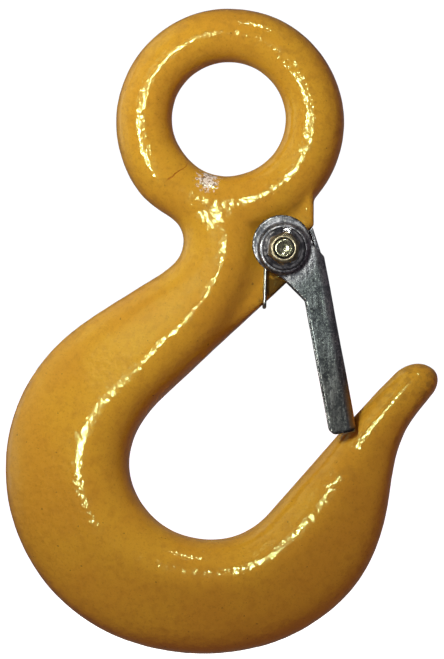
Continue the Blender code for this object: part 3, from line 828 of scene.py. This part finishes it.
def nut_mesh():
    """Flanged lock nut: hex, and a round collar rolled over the nylon ring."""
    side = -1.0
    height = NUT_HIGH.y - NUT_LOW.y
    collar_foot = height - 1.9 * MM
    collar = [
        (4.05 * MM, 1.0 * MM),
        (4.05 * MM, collar_foot),
        (4.03 * MM, height - 0.75 * MM),
        (3.94 * MM, height - 0.42 * MM),
        (3.72 * MM, height - 0.18 * MM),
        (3.42 * MM, height - 0.05 * MM),
        (3.1 * MM, height),
        (2.95 * MM, height - 0.04 * MM),
    ]
    bore = [
        (NUT_BORE_RADIUS, -1.0 * MM),
        (NUT_BORE_RADIUS, height - RING_SEAT_DEPTH),
        (RING_SEAT_RADIUS - 0.25 * MM, height - RING_SEAT_DEPTH),
        (RING_SEAT_RADIUS - 0.25 * MM, height - 0.45 * MM),
        (NUT_LIP_RADIUS + 0.05 * MM, height - 0.3 * MM),
        (NUT_LIP_RADIUS, height - 0.2 * MM),
        (NUT_LIP_RADIUS + 0.1 * MM, height + 1.0 * MM),
    ]
    steps = [
        ("UNION", crowned_hex(collar_foot + 0.5 * MM, side)),
        ("UNION", turned(collar, side)),
        ("DIFFERENCE", turned(bore, side)),
    ]
    mesh = combine(flange(side), steps, voxel=NUT_CELL)
    moved(mesh, (PIVOT[0], NUT_HIGH.y, PIVOT[1]))
    return finish_fastener(mesh, "lock_nut", NUT_WAVES)


def bolt_mesh():
    """Flanged bolt: dished head, threaded end with a chamfer and a dimple."""
    side = 1.0
    seat = -NUT_HIGH.y
    height = BOLT_HIGH.y - seat
    length = seat - BOLT_LOW.y
    shank = [
        (BOLT_RADIUS, 0.4 * MM),
        (BOLT_RADIUS, BOLT_CHAMFER - length),
        (BOLT_RADIUS - BOLT_CHAMFER, -length),
    ]
    dish = [
        (0.3 * MM, height - 0.5 * MM),
        (2.2 * MM, height - 0.35 * MM),
        (2.7 * MM, height + 0.2 * MM),
    ]
    dimple = [
        (2.05 * MM, -length - 0.1 * MM),
        (1.9 * MM, 0.08 * MM - length),
        (1.3 * MM, 0.45 * MM - length),
        (0.5 * MM, 0.62 * MM - length),
        (0.15 * MM, 0.85 * MM - length),
    ]
    steps = [
        ("UNION", crowned_hex(height, side)),
        ("UNION", turned(shank)),
        ("DIFFERENCE", turned(dish)),
        ("DIFFERENCE", turned(dimple)),
    ]
    mesh = combine(flange(side), steps, voxel=BOLT_CELL)
    points = get_points(mesh)
    radius = np.hypot(points[:, 0], points[:, 2])
    turn = np.arctan2(points[:, 2], points[:, 0])
    phase = math.tau * points[:, 1] / THREAD_PITCH + turn
    groove = THREAD_DEPTH * (0.5 - 0.5 * np.cos(phase)) ** 1.3
    threaded = 1.0 - smooth_between(points[:, 1], 9.0 * MM - length, 9.8 * MM - length)
    threaded = threaded * smooth_between(radius, 1.9 * MM, 2.3 * MM)
    shrink = 1.0 - groove * threaded / np.maximum(radius, 1.0 * MM)
    points[:, 0] *= shrink
    points[:, 2] *= shrink
    set_points(mesh, points)
    moved(mesh, (PIVOT[0], seat, PIVOT[1]))
    return finish_fastener(mesh, "latch_bolt", BOLT_WAVES)


def nylon_ring_mesh():
    """The nylon ring, with a rounded outer lip."""
    low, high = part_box("nut_insert")
    half = (high.y - low.y) / 2.0
    middle = (low.y + high.y) / 2.0
    centre = (RING_INNER_RADIUS + RING_OUTER_RADIUS) / 2.0
    width = (RING_OUTER_RADIUS - RING_INNER_RADIUS) / 2.0
    profile = []
    for turn in np.arange(RING_STEPS) * math.tau / RING_STEPS:
        across = width * power(math.cos(turn), RING_SQUARENESS)
        along = half * power(math.sin(turn), RING_SQUARENESS)
        profile.append((centre + across, middle + along))
    mesh = turned(profile, closed=True)
    moved(mesh, PIVOT_CENTRE)
    set_points(mesh, fit_to_box(get_points(mesh), "nut_insert"))
    return mesh


# ---- materials

# Colours are linear red, green and blue
ENAMEL_DEEP = (0.63, 0.318, 0.031)
ENAMEL_LIGHT = (0.67, 0.366, 0.033)
ENAMEL_MOTTLE = (0.50, 0.235, 0.024)
ENAMEL_SPECKLE = (0.42, 0.20, 0.022)
HOLLOW_PAINTED_SHADE = (0.22, 0.09, 0.012)
ENAMEL_WORN = (0.30, 0.16, 0.03)
ENAMEL_FLECK = (0.10, 0.05, 0.012)
ENAMEL_GLOSS = (0.76, 1.0, 0.45)
LAP_COLOUR = (0.40, 0.10, 0.012)
PAINTED_SHADOW_COLOUR = (0.045, 0.022, 0.007)
SCUFF_DARK = (0.22, 0.15, 0.11)
SCUFF_LIGHT = (0.95, 0.89, 0.90)

ZINC_DARK = (0.050, 0.050, 0.060)
ZINC_LIGHT = (0.23, 0.225, 0.255)
ZINC_STREAK = (0.30, 0.29, 0.32)
ZINC_BLOTCH = (0.035, 0.037, 0.050)
ZINC_BRIGHT_SPECK = (0.45, 0.45, 0.45)
ZINC_DARK_SPECK = (0.015, 0.016, 0.022)
BEND_PAINTED_SHEEN = (0.28, 0.31, 0.36)
ZINC_EDGE = (0.60, 0.58, 0.58)
FLAT_ARM_PAINTED_SHADE = (0.40, 0.46, 0.44)
LOW_ARM_PAINTED_SHADE = (0.66, 0.60, 0.58)
YELLOW_PAINTED_REFLECTION = (0.42, 0.22, 0.06)
END_PAINTED_SHADE = (0.010, 0.010, 0.012)

BRONZE_DARK = (0.13, 0.11, 0.07)
BRONZE_LIGHT = (0.32, 0.265, 0.185)
BRONZE_EDGE = (0.48, 0.42, 0.33)
FLANGE_DARK = (0.030, 0.030, 0.042)
FLANGE_LIGHT = (0.80, 0.77, 0.74)
FLANGE_CLOUD = (0.05, 0.05, 0.065)
BOLT_DARK = (0.26, 0.26, 0.16)
BOLT_LIGHT = (0.56, 0.54, 0.38)
WIRE_DARK = (0.18, 0.18, 0.18)
WIRE_LIGHT = (0.42, 0.42, 0.40)
NYLON_DARK = (0.004, 0.004, 0.004)
NYLON_LIGHT = (0.014, 0.013, 0.013)

# Marks: the fade towards the front, and the forging lap's line
FRONT_FADE = (-1.0 * MM, -2.0 * MM)
LAP_WAVER = 0.9 * MM
LAP_WIDTH = (0.20 * MM, 0.06 * MM)


def set_inputs(tree, node, inputs):
    """Links sockets and sets plain values; a plain colour gets a full alpha."""
    for key, value in inputs.items():
        socket = node.inputs[key]
        if isinstance(value, bpy.types.NodeSocket):
            tree.links.new(value, socket)
        elif socket.type == "RGBA":
            socket.default_value = (*value, 1.0)
        else:
            socket.default_value = value


def add_node(tree, kind, inputs=None, **settings):
    made = tree.nodes.new(kind)
    for key, value in settings.items():
        setattr(made, key, value)
    set_inputs(tree, made, inputs or {})
    return made


def mix_colour(tree, share, first, second, blend="MIX"):
    inputs = {0: share, 6: first, 7: second}
    return add_node(tree, "ShaderNodeMix", inputs, data_type="RGBA", blend_type=blend).outputs[2]


def grain(tree, vector, scale, detail=2.0, roughness=0.5):
    """Noise between 0 and 1; the scale is in waves for each metre."""
    inputs = {"Vector": vector, "Scale": scale, "Detail": detail, "Roughness": roughness}
    return add_node(tree, "ShaderNodeTexNoise", inputs).outputs[0]


def remap(tree, value, low, high, to_low=0.0, to_high=1.0):
    """A smooth step between two results while the value goes from low to high."""
    inputs = {0: value, 1: low, 2: high, 3: to_low, 4: to_high}
    settings = {"clamp": True, "interpolation_type": "SMOOTHSTEP"}
    return add_node(tree, "ShaderNodeMapRange", inputs, **settings).outputs[0]


def overlay(tree, colour, pattern, low, high, share, tint):
    """Lays a tint over a colour, up to a share, while a pattern goes from low to high."""
    return mix_colour(tree, remap(tree, pattern, low, high, 0.0, share), colour, tint)


def calculate(tree, operation, first, second):
    return add_node(tree, "ShaderNodeMath", {0: first, 1: second}, operation=operation).outputs[0]


def times(tree, first, second):
    return calculate(tree, "MULTIPLY", first, second)


def vector_math(tree, operation, *inputs):
    """A vector, or one number from a length or a dot product."""
    made = add_node(tree, "ShaderNodeVectorMath", dict(enumerate(inputs)), operation=operation)
    return made.outputs["Value" if operation in ("LENGTH", "DOT_PRODUCT") else "Vector"]


def start_material(name):
    """A material with its tree, its Principled node and the piece's own coordinates."""
    made = bpy.data.materials.new(name)
    made.use_nodes = True
    tree = made.node_tree
    place = add_node(tree, "ShaderNodeTexCoord").outputs["Object"]
    return made, tree, tree.nodes["Principled BSDF"], place


def convexity(tree):
    return add_node(tree, "ShaderNodeAttribute", attribute_name="convexity").outputs["Fac"]


def bump(tree, height, distance, under=None):
    """Relief of a real height, on top of any relief under it."""
    inputs = {"Height": height, "Distance": distance}
    if under is not None:
        inputs["Normal"] = under
    return add_node(tree, "ShaderNodeBump", inputs).outputs[0]


def coordinate(tree, place, axis):
    return add_node(tree, "ShaderNodeSeparateXYZ", {0: place}).outputs[axis]


def distance_from(tree, place, centre):
    """Distance in the XZ plane from a centre."""
    gap = vector_math(tree, "SUBTRACT", place, centre)
    return vector_math(tree, "LENGTH", vector_math(tree, "MULTIPLY", gap, (1.0, 0.0, 1.0)))


def along_axis(tree, place, start, axis):
    """Distance from a start, measured along an axis."""
    return vector_math(tree, "DOT_PRODUCT", vector_math(tree, "SUBTRACT", place, start), axis)


def on_front(tree, place, mask):
    """Keeps a mask on the side of the lock nut."""
    return times(tree, mask, remap(tree, coordinate(tree, place, "Y"), *FRONT_FADE))


def lap_mark(tree, place):
    """The forging lap on the eye's front: 1 on a thin wavering line."""
    start, end = (Vector((x * MM, 0.0, z * MM)) for x, z in LAP_MARK)
    heading = (end - start).normalized()
    length = (end - start).length
    across = along_axis(tree, place, start, (heading.z, 0.0, -heading.x))
    waver = remap(tree, grain(tree, place, 250.0), 0.0, 1.0, -LAP_WAVER, LAP_WAVER)
    gap = calculate(tree, "ABSOLUTE", calculate(tree, "ADD", across, waver), 0.0)
    from_middle = along_axis(tree, place, (start + end) / 2.0, heading)
    from_middle = calculate(tree, "ABSOLUTE", from_middle, 0.0)
    ends = remap(tree, from_middle, 0.55 * length, 0.4 * length)
    return on_front(tree, place, times(tree, remap(tree, gap, *LAP_WIDTH), ends))


def ragged_spot(tree, place, centre, edge_scale, edge_depth, fade):
    """1 round an (x, z) centre in millimetres, fading out over a torn edge."""
    gap = distance_from(tree, place, (centre[0] * MM, 0.0, centre[1] * MM))
    torn = remap(tree, grain(tree, place, edge_scale, 3.0, 0.7), 0.3, 0.7, -edge_depth, edge_depth)
    return remap(tree, calculate(tree, "ADD", gap, torn), *fade)


def enamel():
    """Thick glossy yellow enamel over a forged surface."""
    made, tree, shader, place = start_material("yellow_enamel")
    broad = grain(tree, place, 45.0, 3.0)
    mottle = grain(tree, place, 420.0, 4.0, 0.6)
    speckle = grain(tree, place, 1700.0, 3.0, 0.6)
    fleck = grain(tree, place, 900.0, 1.0, 0.4)
    stands_out = convexity(tree)
    colour = mix_colour(tree, remap(tree, broad, 0.35, 0.65), ENAMEL_DEEP, ENAMEL_LIGHT)
    colour = overlay(tree, colour, mottle, 0.42, 0.75, 0.5, ENAMEL_MOTTLE)
    colour = overlay(tree, colour, speckle, 0.5, 0.75, 0.5, ENAMEL_SPECKLE)
    # Painted shade: the enamel darker in hollows and creases
    colour = overlay(tree, colour, stands_out, -0.03, -0.22, 0.5, HOLLOW_PAINTED_SHADE)
    worn = times(tree, remap(tree, stands_out, 0.10, 0.35), remap(tree, mottle, 0.45, 0.6))
    colour = mix_colour(tree, times(tree, worn, 0.5), colour, ENAMEL_WORN)
    colour = overlay(tree, colour, fleck, 0.76, 0.80, 0.6, ENAMEL_FLECK)
    lap = lap_mark(tree, place)
    colour = mix_colour(tree, times(tree, lap, 0.75), colour, LAP_COLOUR)
    # Painted shadow of the latch on the enamel beside the spring's leg
    painted_shadow = ragged_spot(tree, place, PIVOT_PAINTED_SHADOW, 500.0, 1.0 * MM, (4.6 * MM, 2.0 * MM))
    colour = mix_colour(tree, times(tree, painted_shadow, 0.85), colour, PAINTED_SHADOW_COLOUR)
    bare = ragged_spot(tree, place, BARE_PATCH, 900.0, 1.2 * MM, (3.2 * MM, 1.8 * MM))
    scuffed = mix_colour(tree, remap(tree, speckle, 0.40, 0.50), SCUFF_DARK, SCUFF_LIGHT)
    bare = on_front(tree, place, bare)
    colour = mix_colour(tree, times(tree, bare, 0.9), colour, scuffed)
    normal = bump(tree, grain(tree, place, 230.0, 1.0, 0.5), 0.12 * MM)
    normal = bump(tree, grain(tree, place, 640.0, 1.0, 0.4), 0.13 * MM, normal)
    normal = bump(tree, grain(tree, place, 2100.0, 2.0, 0.5), 0.02 * MM, normal)
    normal = bump(tree, calculate(tree, "SUBTRACT", 1.0, lap), 0.1 * MM, normal)
    set_inputs(tree, shader, {
        "Base Color": colour,
        "Roughness": remap(tree, mottle, 0.3, 0.7, 0.09, 0.15),
        "Specular IOR Level": 0.55,
        "Specular Tint": ENAMEL_GLOSS,
        "Normal": normal,
    })
    return made


def zinc():
    """Dull zinc plating with lengthwise rolling marks, dark smudges and speckled edges."""
    made, tree, shader, place = start_material("zinc_plate")
    stretch = {"Vector": place, "Rotation": (0.0, LATCH_LEAN, 0.0), "Scale": (1.0, 1.0, 0.10)}
    along = add_node(tree, "ShaderNodeMapping", stretch).outputs[0]
    band = grain(tree, along, 420.0, 3.0, 0.6)
    streak = grain(tree, along, 1500.0, 3.0, 0.6)
    blotch = grain(tree, place, 300.0, 4.0, 0.65)
    speck = grain(tree, place, 1900.0, 3.0, 0.7)
    colour = mix_colour(tree, remap(tree, band, 0.36, 0.64), ZINC_DARK, ZINC_LIGHT)
    colour = overlay(tree, colour, streak, 0.47, 0.60, 0.75, ZINC_STREAK)
    colour = overlay(tree, colour, blotch, 0.46, 0.62, 0.85, ZINC_BLOTCH)
    colour = overlay(tree, colour, speck, 0.56, 0.66, 0.75, ZINC_BRIGHT_SPECK)
    colour = overlay(tree, colour, speck, 0.45, 0.35, 0.85, ZINC_DARK_SPECK)
    # Painted light by place: shade on the arm's flat and its lower half, a sheen on the bend, a
    # reflection of the yellow hook by the heel, and shade along the end
    lean_cos, lean_sin = math.cos(LATCH_LEAN), math.sin(LATCH_LEAN)
    from_pivot = distance_from(tree, place, PIVOT_CENTRE)
    across = along_axis(tree, place, PIVOT_CENTRE, (lean_cos, 0.0, lean_sin))
    down_arm = along_axis(tree, place, PIVOT_CENTRE, (lean_sin, 0.0, -lean_cos))
    bend = remap(tree, across, 7.8 * MM, 9.2 * MM)
    arm = remap(tree, from_pivot, 6.5 * MM, 11.5 * MM)
    # Painted shade: the flat of the arm darker
    flat_arm_painted_shade = times(tree, arm, calculate(tree, "SUBTRACT", 1.0, bend))
    colour = mix_colour(tree, flat_arm_painted_shade, colour, FLAT_ARM_PAINTED_SHADE, "MULTIPLY")
    # Painted sheen: the bend a little lighter
    colour = mix_colour(tree, times(tree, bend, 0.15), colour, BEND_PAINTED_SHEEN)
    # Painted shade: darker down the lower half of the arm
    low_arm_painted_shade = remap(tree, from_pivot, 24.0 * MM, 42.0 * MM)
    colour = mix_colour(tree, low_arm_painted_shade, colour, LOW_ARM_PAINTED_SHADE, "MULTIPLY")
    # Painted reflection of the yellow hook on the bend near the heel
    heel = remap(tree, from_pivot, 38.0 * MM, 47.0 * MM)
    painted_reflection = times(tree, remap(tree, across, 8.4 * MM, 9.8 * MM), heel)
    colour = mix_colour(tree, times(tree, painted_reflection, 0.8), colour, YELLOW_PAINTED_REFLECTION)
    # Painted shade: a near-black band along the latch's end
    end = (LATCH_END - 1.3 * MM, LATCH_END - 0.6 * MM)
    colour = overlay(tree, colour, down_arm, *end, 0.95, END_PAINTED_SHADE)
    edge = remap(tree, convexity(tree), 0.02, 0.09)
    worn = times(tree, edge, remap(tree, speck, 0.50, 0.62))
    colour = mix_colour(tree, times(tree, worn, 0.7), colour, ZINC_EDGE)
    rough = remap(tree, blotch, 0.35, 0.7, 0.28, 0.50)
    rough = calculate(tree, "SUBTRACT", rough, times(tree, edge, 0.10))
    normal = bump(tree, streak, 0.05 * MM)
    normal = bump(tree, speck, 0.04 * MM, normal)
    look = {"Base Color": colour, "Roughness": rough, "Normal": normal, "Metallic": 0.75}
    set_inputs(tree, shader, look)
    return made


def metal(name, dark, light, low, high, scale=700.0):
    """A bare or plated metal with fine mottling and brighter edges."""
    made, tree, shader, place = start_material(name)
    cloud = grain(tree, place, scale, 4.0, 0.6)
    fine = grain(tree, place, 4.0 * scale, 2.0, 0.6)
    colour = mix_colour(tree, remap(tree, cloud, 0.35, 0.65), dark, light)
    bright = [min(1.0, 1.5 * part) for part in light]
    colour = overlay(tree, colour, convexity(tree), 0.01, 0.05, 0.5, bright)
    set_inputs(tree, shader, {
        "Base Color": colour,
        "Roughness": remap(tree, fine, 0.3, 0.7, low, high),
        "Normal": bump(tree, fine, 0.006 * MM),
        "Metallic": 1.0,
    })
    return made


def passivated_nut():
    """Bronze coloured hex and collar on a bright turned flange."""
    made, tree, shader, place = start_material("passivated_steel")
    cloud = grain(tree, place, 700.0, 4.0, 0.6)
    fine = grain(tree, place, 2800.0, 2.0, 0.6)
    # Turning marks: noise by the distance from the pivot's axis
    radius = distance_from(tree, place, PIVOT_CENTRE)
    spread = add_node(tree, "ShaderNodeCombineXYZ", {0: radius}).outputs[0]
    rings = grain(tree, spread, 1100.0, 3.0, 0.6)
    depth = coordinate(tree, place, "Y")
    flange_share = remap(tree, depth, NUT_HIGH.y - 2.3 * MM, NUT_HIGH.y - 1.8 * MM)
    bronze = mix_colour(tree, remap(tree, cloud, 0.35, 0.65), BRONZE_DARK, BRONZE_LIGHT)
    bright = mix_colour(tree, remap(tree, rings, 0.38, 0.56), FLANGE_DARK, FLANGE_LIGHT)
    bright = overlay(tree, bright, cloud, 0.42, 0.56, 0.8, FLANGE_CLOUD)
    colour = mix_colour(tree, flange_share, bronze, bright)
    colour = overlay(tree, colour, convexity(tree), 0.01, 0.05, 0.6, BRONZE_EDGE)
    rough = remap(tree, fine, 0.3, 0.7, 0.28, 0.40)
    rough = calculate(tree, "SUBTRACT", rough, times(tree, flange_share, 0.20))
    normal = bump(tree, cloud, 0.10 * MM)
    normal = bump(tree, rings, 0.03 * MM, normal)
    normal = bump(tree, fine, 0.008 * MM, normal)
    look = {"Base Color": colour, "Roughness": rough, "Normal": normal, "Metallic": 1.0}
    set_inputs(tree, shader, look)
    return made


def nylon():
    """Black nylon with a fine moulded grain."""
    made, tree, shader, place = start_material("black_nylon")
    fine = grain(tree, place, 2500.0, 3.0)
    set_inputs(tree, shader, {
        "Base Color": mix_colour(tree, fine, NYLON_DARK, NYLON_LIGHT),
        "Roughness": remap(tree, fine, 0.3, 0.7, 0.45, 0.65),
        "Specular IOR Level": 0.3,
        "Normal": bump(tree, fine, 0.01 * MM),
    })
    return made


# ---- stage

VIEW_CENTRE = (-1.86 * MM, -57.5 * MM)
VIEW_HEIGHT = 179.9 * MM
CAMERA_DISTANCE = 1.0
SENSOR = 36.0
FLOOR_DROP = 60.0 * MM
FLOOR_FADE = (0.28, 0.62)
FLOOR_HALF = 12.0
FLOOR_DARK = (0.90, 0.90, 0.90)
FLOOR_LIGHT = (0.92, 0.92, 0.92)
WHITE = (1.0, 1.0, 1.0)
BACKDROP = (1.05, 1.05, 1.05)
KEY_COLOUR = (0.95, 1.0, 0.80)
GLOSS_COLOUR = (0.96, 1.0, 0.90)
AMBIENT = (0.235, 0.125, 0.14)
BRIGHT_SIDE = (-0.90, 0.05, 0.38)
BRIGHT_RANGE = (0.60, 0.95)
ROOM_DARK = (0.13, 0.13, 0.14)
ROOM_BRIGHT = (1.4, 1.4, 1.35)

# Lights: name, place, size, watts. The first two aren't reflected; the strips are only
# reflected, as narrow bright lines along the enamel
DIFFUSE_LIGHTS = (
    ("key", (-0.125, -0.23, 0.085), (0.09, 0.09), 0.71),
    ("back_fill", (-0.25, 0.90, 0.25), (0.5, 0.5), 3.0),
)
GLOSSY_LIGHTS = (
    ("left_strip", (-0.37, -0.90, -0.055), (0.025, 0.37), 7.5),
    ("ridge_strip", (-0.11, -0.90, 0.14), (0.02, 0.13), 2.6),
    ("top_strip", (0.16, -0.45, 0.68), (0.07, 0.04), 1.5),
)


def add_camera():
    """Straight on to the nut's side, from far enough for a nearly flat view."""
    data = bpy.data.cameras.new("camera")
    data.sensor_width = SENSOR
    data.lens = SENSOR * CAMERA_DISTANCE / VIEW_HEIGHT
    item = new_object("camera", data)
    item.location = (VIEW_CENTRE[0], -CAMERA_DISTANCE, VIEW_CENTRE[1])
    item.rotation_euler = (math.radians(90.0), 0.0, 0.0)
    bpy.context.scene.camera = item


def add_light(name, place, aim, size, power_w, colour):
    """A rectangular softbox turned towards a point."""
    data = bpy.data.lights.new(name, "AREA")
    data.shape = "RECTANGLE"
    data.size, data.size_y = size
    data.energy = power_w
    data.color = colour
    item = new_object(name, data)
    item.location = place
    item.rotation_euler = (Vector(aim) - Vector(place)).to_track_quat("-Z", "Y").to_euler()
    return item


def add_floor():
    """A pale floor below the hanging hook; it takes shadows and lights nothing."""
    made, tree, shader, place = start_material("pale_floor")
    soft = grain(tree, place, 6.0)
    away = vector_math(tree, "LENGTH", place)
    # Painted light: the floor glows at half strength near the hook and full white far off, so it
    # melts into the backdrop
    set_inputs(tree, shader, {
        "Base Color": mix_colour(tree, soft, FLOOR_DARK, FLOOR_LIGHT),
        "Roughness": 0.9,
        "Emission Color": WHITE,
        "Emission Strength": remap(tree, away, *FLOOR_FADE, 0.50, 1.05),
    })
    level = BODY_LOW.z - FLOOR_DROP
    mesh = bpy.data.meshes.new("floor")
    square = ((-1, -1), (1, -1), (1, 1), (-1, 1))
    corners = [(x * FLOOR_HALF, y * FLOOR_HALF, level) for x, y in square]
    mesh.from_pydata(corners, [], [(0, 1, 2, 3)])
    mesh.materials.append(made)
    item = new_object("floor", mesh)
    item.visible_diffuse = False
    item.visible_glossy = False


def add_world():
    """White behind the object, soft warm light, and a grey room to reflect."""
    world = bpy.data.worlds.new("studio")
    world.use_nodes = True
    bpy.context.scene.world = world
    tree = world.node_tree
    rays = add_node(tree, "ShaderNodeLightPath").outputs
    direction = add_node(tree, "ShaderNodeTexCoord").outputs["Generated"]
    facing = vector_math(tree, "DOT_PRODUCT", direction, Vector(BRIGHT_SIDE).normalized())
    clutter = remap(tree, grain(tree, direction, 3.5), 0.40, 0.60, 0.35, 1.0)
    bright_share = times(tree, remap(tree, facing, *BRIGHT_RANGE), clutter)
    room = mix_colour(tree, bright_share, ROOM_DARK, ROOM_BRIGHT)
    colour = mix_colour(tree, rays["Is Glossy Ray"], AMBIENT, room)
    colour = mix_colour(tree, rays["Is Camera Ray"], colour, BACKDROP)
    tree.links.new(colour, tree.nodes["Background"].inputs["Color"])


def add_stage():
    middle = (0.0, 0.0, (BODY_LOW.z + BODY_HIGH.z) / 2.0)
    add_camera()
    for name, place, size, power_w in DIFFUSE_LIGHTS:
        add_light(name, place, middle, size, power_w, KEY_COLOUR).visible_glossy = False
    for name, place, size, power_w in GLOSSY_LIGHTS:
        add_light(name, place, middle, size, power_w, GLOSS_COLOUR).visible_diffuse = False
    add_floor()
    add_world()
    bpy.context.scene.view_settings.view_transform = "Standard"


def add_object_pieces():
    add_piece("hook_forging", hook_body_mesh(), enamel(), "hook", "hook_body")
    add_piece("latch_sheet", latch_mesh(), zinc(), "latch", "latch")
    add_piece("flange_nut", nut_mesh(), passivated_nut(), "hook", "lock_nut")
    steel = metal("bolt_steel", BOLT_DARK, BOLT_LIGHT, 0.16, 0.30)
    add_piece("flange_bolt", bolt_mesh(), steel, "hook", "latch_bolt")
    add_piece("nylon_ring", nylon_ring_mesh(), nylon(), "hook", "nut_insert")
    wire = metal("spring_wire", WIRE_DARK, WIRE_LIGHT, 0.28, 0.42, 500.0)
    spring = add_piece("torsion_spring", spring_mesh(), wire, None, "latch_spring")
    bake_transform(spring)


add_object_pieces()
add_stage()
